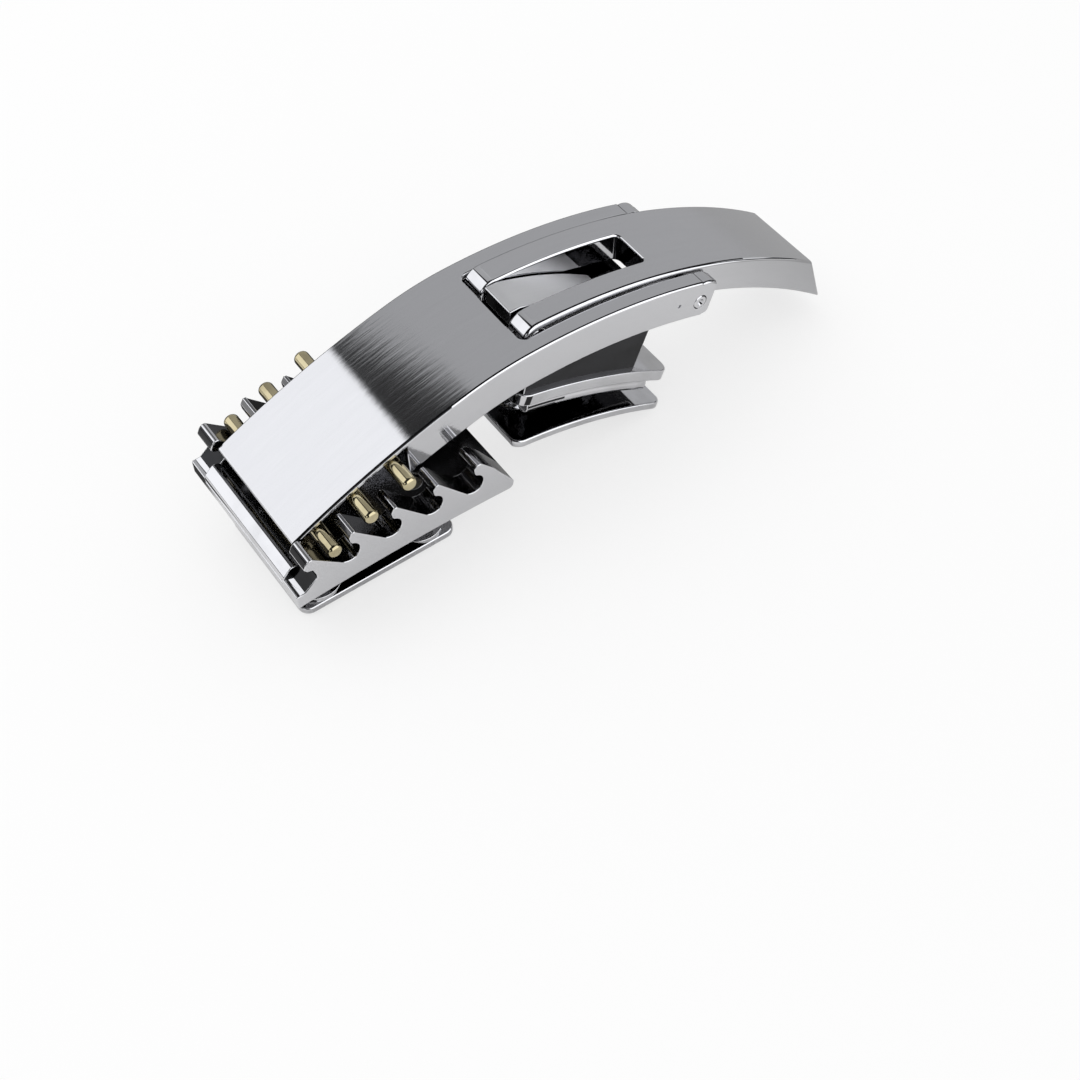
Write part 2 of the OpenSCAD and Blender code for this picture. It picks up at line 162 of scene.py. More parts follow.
def pick(piece, parts, test):
    """Selects the vertices, edges or faces whose middle passes a test, and returns to edit mode."""
    edit(piece, {"vertices": "VERT", "edges": "EDGE", "polygons": "FACE"}[parts])
    bpy.ops.object.mode_set(mode="OBJECT")
    mesh = piece.data
    for item in getattr(mesh, parts):
        if parts == "vertices":
            middle = item.co
        else:
            points = [mesh.vertices[v].co for v in item.vertices]
            middle = sum(points, Vector()) / len(points)
        item.select = bool(test(middle, item))
    bpy.ops.object.mode_set(mode="EDIT")


def apply_all(piece):
    """Applies a piece's modifiers in order."""
    select_only(piece)
    for modifier in list(piece.modifiers):
        bpy.ops.object.modifier_apply(modifier=modifier.name)


def settle(piece):
    """Puts a piece's place into its mesh, so that its object sits at the origin."""
    select_only(piece)
    bpy.ops.object.transform_apply(location=True, rotation=True, scale=True)


def smooth(piece, angle=40):
    """Smooth shading in which the broad faces lead and the narrow rounded edges follow."""
    select_only(piece)
    bpy.ops.object.shade_smooth_by_angle(angle=math.radians(angle))
    normals = piece.modifiers.new("Weighted normals", "WEIGHTED_NORMAL")
    normals.mode = "FACE_AREA"
    normals.weight = 80
    normals.keep_sharp = True
    apply_all(piece)


def round_edges(piece, width, share, slot):
    """Rounds the outer sharp edges, each by its share of a width; inner corners stay crisp."""
    sharp = math.radians(28)
    shape = bmesh.new()
    shape.from_mesh(piece.data)
    weights = shape.edges.layers.float.new("bevel_weight_edge")
    for edge in shape.edges:
        if len(edge.link_faces) == 2 and edge.calc_face_angle_signed() > sharp:
            edge[weights] = share((edge.verts[0].co + edge.verts[1].co) / 2)
    shape.to_mesh(piece.data)
    shape.free()
    bevel = piece.modifiers.new("Rounded edges", "BEVEL")
    bevel.width = width
    bevel.segments = 3
    bevel.limit_method = "WEIGHT"
    bevel.use_clamp_overlap = False
    bevel.loop_slide = False
    bevel.material = slot
    apply_all(piece)


def welded_copy(node, name):
    """Copies a solid's mesh, welds it and joins its flat areas into single faces."""
    piece = bpy.data.objects.new(name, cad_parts[node].data.copy())
    piece.data.materials.clear()
    bpy.context.scene.collection.objects.link(piece)
    edit(piece, "FACE")
    bpy.ops.mesh.select_all(action="SELECT")
    bpy.ops.mesh.customdata_custom_splitnormals_clear()
    bpy.ops.mesh.remove_doubles(threshold=WELD)
    bpy.ops.mesh.dissolve_limited(angle_limit=math.radians(0.15))
    bpy.ops.object.mode_set(mode="OBJECT")
    return piece


def grain_map(piece, circle):
    """A UV map in metres whose U runs along a circle in the side view, and V across it."""
    layer = piece.data.uv_layers.new(name=GRAIN)
    centre_x, centre_z, radius = circle
    for face in piece.data.polygons:
        sideways = abs(face.normal.y) > 0.7
        for loop in face.loop_indices:
            point = piece.data.vertices[piece.data.loops[loop].vertex_index].co
            across = Vector((point.x - centre_x, point.z - centre_z))
            along = math.atan2(across.x, across.y) * radius
            layer.data[loop].uv = (along, across.length if sideways else point.y)


def paint_shade_lines(piece, circle, edge, thick_end):
    """Paints shade on the upper part of the long outer edges, a dark line in place of a dark reflection, and
    more of it before a place in X.
    """
    centre = Vector((circle[0], 0, circle[1]))
    reach = max(abs(vertex.co.y) for vertex in piece.data.vertices)
    for face in piece.data.polygons:
        lean = 0.85 if face.center.x < thick_end else 0.5
        outward = (face.center - centre).dot(face.normal) > 0
        upper = outward and 0.1 < abs(face.normal.y) < lean
        if face.material_index == BRIGHT and upper and abs(face.center.y) > reach - edge:
            face.material_index = PAINTED_SHADE


def coat(piece, coats):
    """Gives a piece its materials."""
    for material in coats:
        piece.data.materials.append(material)


def stand_in(piece, body, node):
    """Gives a piece its body and hides the solid that it stands for."""
    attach(piece, body)
    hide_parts(node)


def casting(node, name, body, circle, edge, coats,
            finish=None, share=lambda middle: 1.0, thick_line_end=None):
    """A plated casting: a welded copy whose edges are rounded in the last of its materials."""
    piece = welded_copy(node, name)
    coat(piece, coats)
    if finish:
        for face in piece.data.polygons:
            face.material_index = finish(face.center, face.normal)
    round_edges(piece, edge, share, slot=len(coats) - 1)
    # Painted shade: a dark line along the upper part of the long outer edges
    if thick_line_end is not None:
        paint_shade_lines(piece, circle, edge, thick_line_end)
    smooth(piece)
    grain_map(piece, circle)
    stand_in(piece, body, node)


# Materials


def group_with(name, inputs, outputs):
    """A new shader node group with named sockets, and its input and output nodes."""
    group = bpy.data.node_groups.new(name, "ShaderNodeTree")
    for label, kind, value in inputs:
        socket = group.interface.new_socket(label, in_out="INPUT", socket_type=kind)
        if value is not None:
            socket.default_value = value
    for label, kind in outputs:
        group.interface.new_socket(label, in_out="OUTPUT", socket_type=kind)
    return group, group.nodes.new("NodeGroupInput"), group.nodes.new("NodeGroupOutput")


def math_node(tree, operation, first, second=None, third=None, clamp=False):
    """A Math node whose inputs are sockets or numbers; returns its output."""
    node = tree.nodes.new("ShaderNodeMath")
    node.operation = operation
    node.use_clamp = clamp
    for socket, value in zip(node.inputs, (first, second, third)):
        if isinstance(value, bpy.types.NodeSocket):
            tree.links.new(value, socket)
        elif value is not None:
            socket.default_value = value
    return node.outputs[0]


def spread(tree, value, low, high, out_low, out_high):
    """A Map Range node with smooth ends; returns its output."""
    node = tree.nodes.new("ShaderNodeMapRange")
    node.interpolation_type = "SMOOTHSTEP"
    tree.links.new(value, node.inputs["Value"])
    ends = {"From Min": low, "From Max": high, "To Min": out_low, "To Max": out_high}
    for label, number in ends.items():
        node.inputs[label].default_value = number
    return node.outputs["Result"]


def noise(tree, vector, scale, detail, roughness=0.5):
    """A Noise texture; returns its grey value."""
    node = tree.nodes.new("ShaderNodeTexNoise")
    node.inputs["Scale"].default_value = scale
    node.inputs["Detail"].default_value = detail
    node.inputs["Roughness"].default_value = roughness
    tree.links.new(vector, node.inputs["Vector"])
    return node.outputs["Fac"]


def make_brush_group():
    """Fine straight scratches along U, in two sizes."""
    group, given, out = group_with(
        "Brushed grain",
        [("Vector", "NodeSocketVector", None),
         ("Length", "NodeSocketFloat", 8.0), ("Width", "NodeSocketFloat", 0.3)],
        [("Streaks", "NodeSocketFloat"), ("Long streaks", "NodeSocketFloat")],
    )
    split = group.nodes.new("ShaderNodeSeparateXYZ")
    group.links.new(given.outputs["Vector"], split.inputs[0])
    for socket, stretch, fine in zip(out.inputs, (1.0, 2.5), (1.0, 3.0)):
        along = math_node(group, "DIVIDE", split.outputs["X"], given.outputs["Length"])
        across = math_node(group, "DIVIDE", split.outputs["Y"], given.outputs["Width"])
        joined = group.nodes.new("ShaderNodeCombineXYZ")
        group.links.new(math_node(group, "MULTIPLY", along, 1000.0 / stretch), joined.inputs["X"])
        group.links.new(math_node(group, "MULTIPLY", across, 1000.0 / fine), joined.inputs["Y"])
        group.links.new(noise(group, joined.outputs[0], 1.0, 3.0, 0.6), socket)
    return group


def make_wear_group():
    """Faint rubbed patches and the slight waves of a plated casting."""
    group, given, out = group_with(
        "Handling",
        [("Vector", "NodeSocketVector", None),
         ("Patch", "NodeSocketFloat", 60.0), ("Wave", "NodeSocketFloat", 40.0)],
        [("Rubbed", "NodeSocketFloat"), ("Waves", "NodeSocketFloat")],
    )
    patch = group.nodes.new("ShaderNodeTexNoise")
    patch.inputs["Detail"].default_value = 6.0
    wave = group.nodes.new("ShaderNodeTexNoise")
    wave.inputs["Detail"].default_value = 0.0
    for node, label in ((patch, "Patch"), (wave, "Wave")):
        group.links.new(given.outputs["Vector"], node.inputs["Vector"])
        group.links.new(given.outputs[label], node.inputs["Scale"])
    group.links.new(spread(group, patch.outputs["Fac"], 0.4, 0.75, 0.0, 1.0), out.inputs["Rubbed"])
    group.links.new(wave.outputs["Fac"], out.inputs["Waves"])
    return group


def make_panel_group():
    """Where a direction falls on a soft-edged rectangular panel in the sky."""
    group, given, out = group_with(
        "Lamp panel",
        [("Vector", "NodeSocketVector", None), ("Centre", "NodeSocketVector", None),
         ("Right", "NodeSocketVector", None), ("Up", "NodeSocketVector", None),
         ("Width", "NodeSocketFloat", 0.5), ("Height", "NodeSocketFloat", 0.5),
         ("Soft", "NodeSocketFloat", 0.1)],
        [("Mask", "NodeSocketFloat")],
    )

    def dot(label):
        """The direction's share along one of the panel's own directions."""
        node = group.nodes.new("ShaderNodeVectorMath")
        node.operation = "DOT_PRODUCT"
        group.links.new(given.outputs["Vector"], node.inputs[0])
        group.links.new(given.outputs[label], node.inputs[1])
        return node.outputs["Value"]

    forward = math_node(group, "MAXIMUM", dot("Centre"), 0.0001)
    mask = math_node(group, "GREATER_THAN", forward, 0.001)
    for label, size in (("Right", "Width"), ("Up", "Height")):
        away = math_node(group, "ABSOLUTE", math_node(group, "DIVIDE", dot(label), forward))
        inside = math_node(group, "SUBTRACT", given.outputs[size], away)
        edge = math_node(group, "DIVIDE", inside, given.outputs["Soft"], clamp=True)
        eased = math_node(group, "SMOOTH_MIN", edge, 1.0, 0.2, clamp=True)
        mask = math_node(group, "MULTIPLY", mask, eased)
    group.links.new(mask, out.inputs["Mask"])
    return group


def mixed(tree, mask, low, high):
    """A number that goes from low to high with a mask."""
    node = tree.nodes.new("ShaderNodeMix")
    tree.links.new(mask, node.inputs[FACTOR])
    for socket, value in ((node.inputs[NUMBER_A], low), (node.inputs[NUMBER_B], high)):
        if isinstance(value, bpy.types.NodeSocket):
            tree.links.new(value, socket)
        else:
            socket.default_value = value
    return node.outputs[NUMBER_OUT]


def group_node(tree, group, vector, **values):
    """Places a node group with its vector and its own values."""
    node = tree.nodes.new("ShaderNodeGroup")
    node.node_tree = group
    tree.links.new(vector, node.inputs["Vector"])
    for label, value in values.items():
        node.inputs[label].default_value = value
    return node


def metal(name, colour, roughness, anisotropy=0.0):
    """A material with a metal surface; returns its tree and shader."""
    material = bpy.data.materials.new(name)
    material.use_nodes = True
    tree = material.node_tree
    shader = tree.nodes["Principled BSDF"]
    shader.inputs["Metallic"].default_value = 1.0
    shader.inputs["Base Color"].default_value = (*colour, 1)
    shader.inputs["Roughness"].default_value = roughness
    shader.inputs["Anisotropic"].default_value = anisotropy
    return tree, shader


def tint(tree, mask, first, second):
    """A colour that goes from the first to the second with a mask."""
    node = tree.nodes.new("ShaderNodeMix")
    node.data_type = "RGBA"
    tree.links.new(mask, node.inputs[FACTOR])
    node.inputs[COLOUR_A].default_value = (*first, 1)
    node.inputs[COLOUR_B].default_value = (*second, 1)
    return node.outputs[COLOUR_OUT]


def bump(tree, shader, height, strength, distance):
    """Raises a surface a little where a mask is light."""
    node = tree.nodes.new("ShaderNodeBump")
    node.inputs["Strength"].default_value = strength
    node.inputs["Distance"].default_value = distance
    tree.links.new(height, node.inputs["Height"])
    tree.links.new(node.outputs["Normal"], shader.inputs["Normal"])


def satin_metal(name, colour, roughness, direction, groups):
    """Brushed nickel: straight grain along the piece, with fingered edges in its reflections."""
    tree, shader = metal(name, colour, roughness, direction)
    shader.inputs["Anisotropic Rotation"].default_value = 0.25
    uv = tree.nodes.new("ShaderNodeUVMap")
    uv.uv_map = GRAIN
    place = tree.nodes.new("ShaderNodeTexCoord")
    tangent = tree.nodes.new("ShaderNodeTangent")
    tangent.direction_type = "UV_MAP"
    tangent.uv_map = GRAIN
    tree.links.new(tangent.outputs[0], shader.inputs["Tangent"])
    grain = group_node(tree, groups["brush"], uv.outputs[0], Length=14.0, Width=1.1)
    wear = group_node(tree, groups["wear"], place.outputs["Object"], Patch=70.0, Wave=30.0)
    both = math_node(tree, "ADD", math_node(tree, "MULTIPLY", grain.outputs["Streaks"], 0.55),
                     math_node(tree, "MULTIPLY", grain.outputs["Long streaks"], 0.45))
    rough = math_node(tree, "MULTIPLY_ADD", both, 0.03, roughness - 0.015)
    rough = math_node(tree, "MULTIPLY_ADD", wear.outputs["Rubbed"], 0.01, rough)
    tree.links.new(rough, shader.inputs["Roughness"])
    dark = tuple(c * 0.9 for c in colour)
    tree.links.new(tint(tree, both, dark, colour), shader.inputs["Base Color"])
    bump(tree, shader, both, 1.0, 0.03 * MM)


def bright_metal(name, colour, dark, roughness, groups, wave=0.03):
    """Polished plating or brass: clear reflections, faint rubbed patches and casting waves."""
    tree, shader = metal(name, colour, roughness)
    place = tree.nodes.new("ShaderNodeTexCoord")
    wear = group_node(tree, groups["wear"], place.outputs["Object"], Patch=120.0, Wave=90.0)
    rough = math_node(tree, "MULTIPLY_ADD", wear.outputs["Rubbed"], 0.05, roughness)
    tree.links.new(rough, shader.inputs["Roughness"])
    tree.links.new(tint(tree, wear.outputs["Rubbed"], colour, dark), shader.inputs["Base Color"])
    bump(tree, shader, wear.outputs["Waves"], 0.5, wave * MM)


def materials():
    """The buckle's finishes, made on the first call."""
    if "Satin nickel" not in bpy.data.materials:
        finish = bpy.context.scene.buckle_finish
        groups = {"brush": make_brush_group(), "wear": make_wear_group()}
        satin_metal("Satin nickel", finish.satin_colour, finish.satin_roughness, 0.96, groups)
        satin_metal("Matt nickel", finish.satin_colour, 0.22, 0.5, groups)
        satin_metal("Tumbled nickel", (0.80, 0.80, 0.81), 0.55, 0.0, groups)
        bright_metal("Polished nickel", finish.bright_colour, (0.52, 0.52, 0.53), 0.05, groups)
        # Painted shade in the rack's recesses: polished nickel darkened to 0.28 of its colour
        recess = tuple(c * 0.28 for c in finish.bright_colour)
        bright_metal("Recess nickel", recess, (0.12, 0.12, 0.13), 0.12, groups)
        # Painted shade: a near-black nickel for faces that lie in shade or mirror the dark, and for dark
        # lines along edges
        bright_metal("Shadowed nickel", (0.03, 0.03, 0.032), (0.02, 0.02, 0.02), 0.12, groups)
        bright_metal("Brass", finish.brass_colour, (0.30, 0.26, 0.16), 0.10, groups, 0.01)
        bright_metal("Screw nickel", finish.screw_colour, (0.30, 0.27, 0.21), 0.2, groups, 0.01)
    return {m.name: m for m in bpy.data.materials}


# Settings


class BuckleSizes(bpy.types.PropertyGroup):
    """Sizes of the finished edges and screw details."""

    edge_round: bpy.props.FloatProperty(
        name="Edge rounding", description="Radius of the castings' rounded edges",
        default=0.7 * MM, min=0.05 * MM, max=0.9 * MM, precision=5, unit="LENGTH")
    lever_round: bpy.props.FloatProperty(
        name="Lever edge rounding", description="Radius of the lever's rounded edges",
        default=0.85 * MM, min=0.05 * MM, max=1.2 * MM, precision=5, unit="LENGTH")
    clamp_round: bpy.props.FloatProperty(
        name="Clamp edge rounding", description="Radius of the clamp plates' rounded edges",
        default=0.5 * MM, min=0.05 * MM, max=0.6 * MM, precision=5, unit="LENGTH")
    recess_length: bpy.props.FloatProperty(
        name="Recess length", description="Length of the screws' cross-shaped recess at its mouth",
        default=6.0 * MM, min=3 * MM, max=8 * MM, precision=5, unit="LENGTH")


class BuckleFinish(bpy.types.PropertyGroup):
    """Colours and gloss of the metals and the floor."""

    satin_colour: bpy.props.FloatVectorProperty(
        name="Satin nickel", description="Colour of the brushed faces",
        default=(0.58, 0.58, 0.595), min=0, max=1, subtype="COLOR")
    satin_roughness: bpy.props.FloatProperty(
        name="Satin roughness", description="How far the brushed faces blur a reflection",
        default=0.07, min=0.02, max=0.8, subtype="FACTOR")
    bright_colour: bpy.props.FloatVectorProperty(
        name="Polished nickel", description="Colour of the polished plating",
        default=(0.60, 0.60, 0.615), min=0, max=1, subtype="COLOR")
    brass_colour: bpy.props.FloatVectorProperty(
        name="Brass", description="Colour of the cross pins",
        default=(0.50, 0.44, 0.28), min=0, max=1, subtype="COLOR")
    screw_colour: bpy.props.FloatVectorProperty(
        name="Screw nickel", description="Colour of the screws",
        default=(0.52, 0.48, 0.40), min=0, max=1, subtype="COLOR")
    floor_colour: bpy.props.FloatVectorProperty(
        name="Floor", description="Colour of the floor",
        default=(0.93, 0.93, 0.93), min=0, max=1, subtype="COLOR")


# Pieces


class BUCKLE_OT_frame(bpy.types.Operator):
    """The curved frame: brushed on its outside, polished at its edges and in its slot"""

    bl_idname = "buckle.frame"
    bl_label = "Frame"

    def execute(self, context):
        stock = materials()
        low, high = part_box("frame")
        side = high.y - 0.1 * MM
        centre = Vector((ARCH_CIRCLE[0], 0, ARCH_CIRCLE[1]))
        pin_low, pin_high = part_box("lever_pin")
        marks = ((pin_low + pin_high) / 2, PUNCH_MARK)

        def finish(middle, normal):
            outward = (middle - centre).dot(normal)
            ground = abs(middle.y) > side or (outward > 0 and normal.z > 0.7 and abs(normal.y) < 0.3)
            # Painted shade: the left end face and the slot's end wall take the near-black slot
            end = normal.x < -0.6 and middle.x < low.x + 4 * MM
            slot_end = normal.x > 0.3 and low.x + 60 * MM < middle.x < low.x + 75 * MM
            return GROUND if ground else PAINTED_SHADE if end or slot_end else BRIGHT

        def share(middle):
            """Small round the rivet and the punch mark, and smaller on the far edge."""
            if min(math.hypot(middle.x - m.x, middle.z - m.z) for m in marks) < 2.6 * MM:
                return 0.1
            return 0.4 if middle.y > high.y - MM else 1.0

        casting("frame", "frame_plate", "frame", ARCH_CIRCLE,
                context.scene.buckle_sizes.edge_round,
                [stock["Satin nickel"], stock["Shadowed nickel"], stock["Polished nickel"]],
                finish, share, THICK_LINE_END)
        return {"FINISHED"}


class BUCKLE_OT_lever(bpy.types.Operator):
    """The lever: brushed, with polished knuckles and window walls"""

    bl_idname = "buckle.lever"
    bl_label = "Lever"

    def execute(self, context):
        stock = materials()
        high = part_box("lever")[1]
        pin_low, pin_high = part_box("mount_pin")
        nose_end = (pin_low.x + pin_high.x) / 2 + 0.1 * MM
        window_wall = 6 * MM

        def finish(middle, normal):
            top = normal.z > 0.5 and middle.x > nose_end and abs(normal.y) < 0.3
            side = abs(normal.y) > 0.9 and abs(middle.y) > window_wall
            end = normal.x > 0.8 and middle.x > high.x - 6 * MM
            return GROUND if top or side or end else BRIGHT

        def share(middle):
            """None across the top by the nose, and less on the far edge."""
            across = 6.2 * MM < abs(middle.y) < high.y - 0.5 * MM
            if across and middle.x < nose_end + 6 * MM:
                return 0.0
            return 0.35 if middle.y > high.y - MM else 1.0

        # The lever gets a thin painted dark line along the upper part of its long outer edges
        casting("lever", "lever_plate", "lever", LEVER_CIRCLE,
                context.scene.buckle_sizes.lever_round,
                [stock["Matt nickel"], stock["Shadowed nickel"], stock["Polished nickel"]],
                finish, share, -math.inf)
        return {"FINISHED"}


class BUCKLE_OT_mount(bpy.types.Operator):
    """The mount under the lever: one polished casting, brushed on its tongue"""

    bl_idname = "buckle.mount"
    bl_label = "Mount"

    def execute(self, context):
        stock = materials()
        flanks_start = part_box("mount")[0].z + 15 * MM
        block_x, block_z, block_radius = BLOCK_CIRCLE

        def finish(middle, normal):
            tongue = abs(middle.y) < 5.35 * MM and middle.z > 34 * MM
            from_centre = math.hypot(middle.x - block_x, middle.z - block_z)
            block_top = abs(from_centre - block_radius) < 0.2 * MM
            if tongue and normal.z > 0.55 and not block_top:
                return GROUND
            # Painted shade: the flanks, the tongue's other faces, the block's top and the undersides take the
            # near-black slot
            flank = abs(normal.y) > 0.9 and middle.z > flanks_start
            return PAINTED_SHADE if flank or tongue or block_top or normal.z < -0.5 else BRIGHT

        casting("mount", "mount_casting", "mount", MOUNT_CIRCLE,
                context.scene.buckle_sizes.edge_round * MOUNT_EDGE_SHARE,
                [stock["Tumbled nickel"], stock["Shadowed nickel"], stock["Polished nickel"]], finish)
        return {"FINISHED"}


class BUCKLE_OT_rack(bpy.types.Operator):
    """The toothed rack: one polished casting"""

    bl_idname = "buckle.rack"
    bl_label = "Rack"

    def execute(self, context):
        stock = materials()
        low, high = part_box("rack")
        matt, recess, shadowed, polished = range(4)

        # Painted shade: the inner faces take the darkened recess nickel, and the rails' left notch faces and
        # slanted right ends the near-black Shadowed nickel
        def finish(middle, normal):
            if abs(normal.y) > 0.9 and abs(middle.y) > high.y - 0.1 * MM:
                return matt
            rail = abs(middle.y) > 20.5 * MM
            if low.x + MM < middle.x < low.x + 6.5 * MM and normal.x < -0.2:
                return shadowed if rail else polished
            if rail and normal.x > 0.5 and middle.x > high.x - 12 * MM:
                return shadowed
            return polished if middle.x < low.x + MM or normal.z < -0.75 else recess

        casting("rack", "rack_casting", "frame", RACK_CIRCLE,
                context.scene.buckle_sizes.edge_round * RACK_EDGE_SHARE,
                [stock["Matt nickel"], stock["Recess nickel"],
                 stock["Shadowed nickel"], stock["Polished nickel"]], finish)
        return {"FINISHED"}


class BUCKLE_OT_clamps(bpy.types.Operator):
    """The two clamp plates with their pressed dishes"""

    bl_idname = "buckle.clamps"
    bl_label = "Clamp plates"

    def execute(self, context):
        stock = materials()
        width = context.scene.buckle_sizes.clamp_round
        for node, name, body, circle in (
                ("mount_clamp", "mount_clamp_plate", "mount", MOUNT_CIRCLE),
                ("rack_clamp", "rack_clamp_plate", "frame", RACK_CIRCLE)):
            screws = [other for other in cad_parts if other.startswith(node.replace("clamp", "screw"))]
            axes = [sum(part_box(screw), Vector()) / 2 for screw in screws]

            def share(middle):
                """Small in the dishes round the screws."""
                return 0.25 if min((middle - axis).xy.length for axis in axes) < 8.0 * MM else 1.0

            casting(node, name, body, circle, width, [stock["Polished nickel"]],
                    share=share)
        return {"FINISHED"}


def pin_blank(node, name):
    """A plain cylinder across the buckle, of the same size and place as a pin's solid."""
    low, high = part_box(node)
    select_none()
    bpy.ops.mesh.primitive_cylinder_add(
        vertices=64, radius=(high.z - low.z) / 2, depth=high.y - low.y,
        location=(low + high) / 2, rotation=(math.pi / 2, 0, 0))
    pin = bpy.context.object
    pin.name = name
    settle(pin)
    return pin


def round_ends(pin, width, segments):
    """Rounds the rims of a pin's two ends."""
    end = max(vertex.co.y for vertex in pin.data.vertices)
    pick(pin, "edges", lambda middle, edge: end - abs(middle.y) < WELD)
    bpy.ops.mesh.bevel(offset=width, segments=segments, profile=0.5)


class BUCKLE_OT_cross_pins(bpy.types.Operator):
    """The three brass cross pins with rounded ends"""

    bl_idname = "buckle.cross_pins"
    bl_label = "Cross pins"

    def execute(self, context):
        stock = materials()
        for number in (1, 2, 3):
            node = f"rack_pin_{number}"
            pin = pin_blank(node, f"cross_pin_{number}")
            round_ends(pin, 1.1 * MM, 8)
            smooth(pin, 30)
            coat(pin, [stock["Brass"]])
            stand_in(pin, "frame", node)
        return {"FINISHED"}


class BUCKLE_OT_rivets(bpy.types.Operator):
    """The two hinge pins, riveted over a punched dimple at each end"""

    bl_idname = "buckle.rivets"
    bl_label = "Hinge rivets"

    def execute(self, context):
        stock = materials()
        for node, name in (("lever_pin", "lever_rivet"), ("mount_pin", "mount_rivet")):
            low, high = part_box(node)
            middle, half, radius = (low + high) / 2, (high.y - low.y) / 2, (high.z - low.z) / 2
            pin = pin_blank(node, name)
            round_ends(pin, 0.45 * MM, 4)
            pick(pin, "polygons",
                 lambda place, face: half - abs(place.y) < WELD and abs(face.normal.y) > 0.99)
            bpy.ops.mesh.inset(thickness=0.55 * MM)
            for sign in (-1, 1):
                pick(pin, "polygons",
                     lambda place, face: half - sign * place.y < WELD and len(face.vertices) > 4)
                bpy.ops.mesh.extrude_region_move(TRANSFORM_OT_translate={"value": (0, -sign * 0.7 * MM, 0)})
                bpy.ops.transform.resize(
                    value=(0.55, 1, 0.55), center_override=(middle.x, sign * half, middle.z))
            smooth(pin)
            coat(pin, [stock["Polished nickel"], stock["Shadowed nickel"]])
            stand_in(pin, "lever", node)
            # Painted shade: dark crescents at set angles round each end's rim, in Shadowed nickel
            for face in pin.data.polygons:
                out = face.center - middle
                turn = math.degrees(math.atan2(out.z, out.x)) % 360
                shaded = turn < 80 or turn > 310 or 200 < turn < 250
                by_end = half - 0.5 * MM < abs(out.y) < half - 0.02 * MM
                face.material_index = int(shaded and by_end and out.xz.length > radius - 0.5 * MM)
        return {"FINISHED"}


def drive_cutter(length, depth):
    """A cross with tapering wings and a pointed foot, for cutting a driver recess."""
    wings = []
    for angle in (0, 90):
        select_none()
        bpy.ops.mesh.primitive_cube_add(size=1, location=(0, 0, 0))
        wing = bpy.context.object
        wing.scale = (length, WING_THICKNESS, 2 * depth)
        wing.rotation_euler = (0, 0, math.radians(angle))
        settle(wing)
        pick(wing, "vertices", lambda middle, vertex: middle.z < 0)
        bpy.ops.transform.resize(value=(WING_TAPER, WING_TAPER, 1))
        bpy.ops.object.mode_set(mode="OBJECT")
        wings.append(wing)
    select_none()
    bpy.ops.mesh.primitive_cone_add(
        vertices=16, radius1=CORE_RADII[0], radius2=CORE_RADII[1],
        depth=2.3 * depth, location=(0, 0, -0.15 * depth))
    wings.append(bpy.context.object)
    settle(wings[-1])
    core = wings[0]
    for other in wings[1:]:
        union = core.modifiers.new("Union", "BOOLEAN")
        union.operation = "UNION"
        union.object = other
        apply_all(core)
        bpy.data.objects.remove(other)
    return core


def cut(piece, cutter):
    """Cuts one piece from another and removes the cutter."""
    difference = piece.modifiers.new("Recess", "BOOLEAN")
    difference.operation = "DIFFERENCE"
    difference.object = cutter
    apply_all(piece)
    bpy.data.objects.remove(cutter)


def screw_blank(head_radius, rim, length, cone):
    """A screw along Z, its head's top at the origin: the head, then a cone or a step, then the shank."""
    select_none()
    bpy.ops.mesh.primitive_cylinder_add(vertices=64, radius=head_radius, depth=rim, location=(0, 0, -rim / 2))
    screw = bpy.context.object
    settle(screw)
    pick(screw, "polygons", lambda middle, face: face.normal.z < -0.9)
    if cone:
        bpy.ops.mesh.extrude_region_move(TRANSFORM_OT_translate={"value": (0, 0, -cone)})
        scale = SHANK_RADIUS / head_radius
        bpy.ops.transform.resize(value=(scale, scale, 1))
    else:
        bpy.ops.mesh.inset(thickness=head_radius - SHANK_RADIUS)
    bpy.ops.mesh.extrude_region_move(TRANSFORM_OT_translate={"value": (0, 0, -(length - rim - cone))})
    bpy.ops.object.mode_set(mode="OBJECT")
    return screw


def turned_over(degrees):
    """A turn that puts a screw's head down, and then its recess at an angle."""
    return Matrix.Rotation(math.pi, 4, "X") @ Matrix.Rotation(math.radians(degrees), 4, "Z")


def place_screws(blank, places, name, body, nodes, material):
    """Copies a finished screw to each place, each copy with its own mesh, and removes the first."""
    for number, (node, matrix) in enumerate(zip(nodes, places), 1):
        piece = bpy.data.objects.new(f"{name}_{number}", blank.data.copy())
        bpy.context.scene.collection.objects.link(piece)
        piece.data.transform(matrix)
        smooth(piece, 35)
        coat(piece, [material])
        stand_in(piece, body, node)
    bpy.data.objects.remove(blank)


class BUCKLE_OT_pan_screws(bpy.types.Operator):
    """The rack's four pan head screws"""

    bl_idname = "buckle.pan_screws"
    bl_label = "Rack screws"

    def execute(self, context):
        stock = materials()
        nodes = [f"rack_screw_{k}" for k in (1, 2, 3, 4)]
        low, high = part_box(nodes[0])
        radius, length = (high.x - low.x) / 2, high.z - low.z
        blank = screw_blank(radius, PAN_HEAD_HEIGHT, length, 0)
        pick(blank, "edges", lambda middle, edge: abs(middle.z) < WELD and middle.xy.length > radius * 0.9)
        bpy.ops.mesh.bevel(offset=1.1 * MM, segments=6, profile=0.5)
        cut(blank, drive_cutter(context.scene.buckle_sizes.recess_length, 2.2 * MM))
        places = []
        for node, turn in zip(nodes, (35, 70, 10, 55)):
            low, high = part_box(node)
            middle = (low + high) / 2
            places.append(Matrix.Translation((middle.x, middle.y, low.z)) @ turned_over(turn))
        place_screws(blank, places, "pan_screw", "frame", nodes, stock["Screw nickel"])
        return {"FINISHED"}


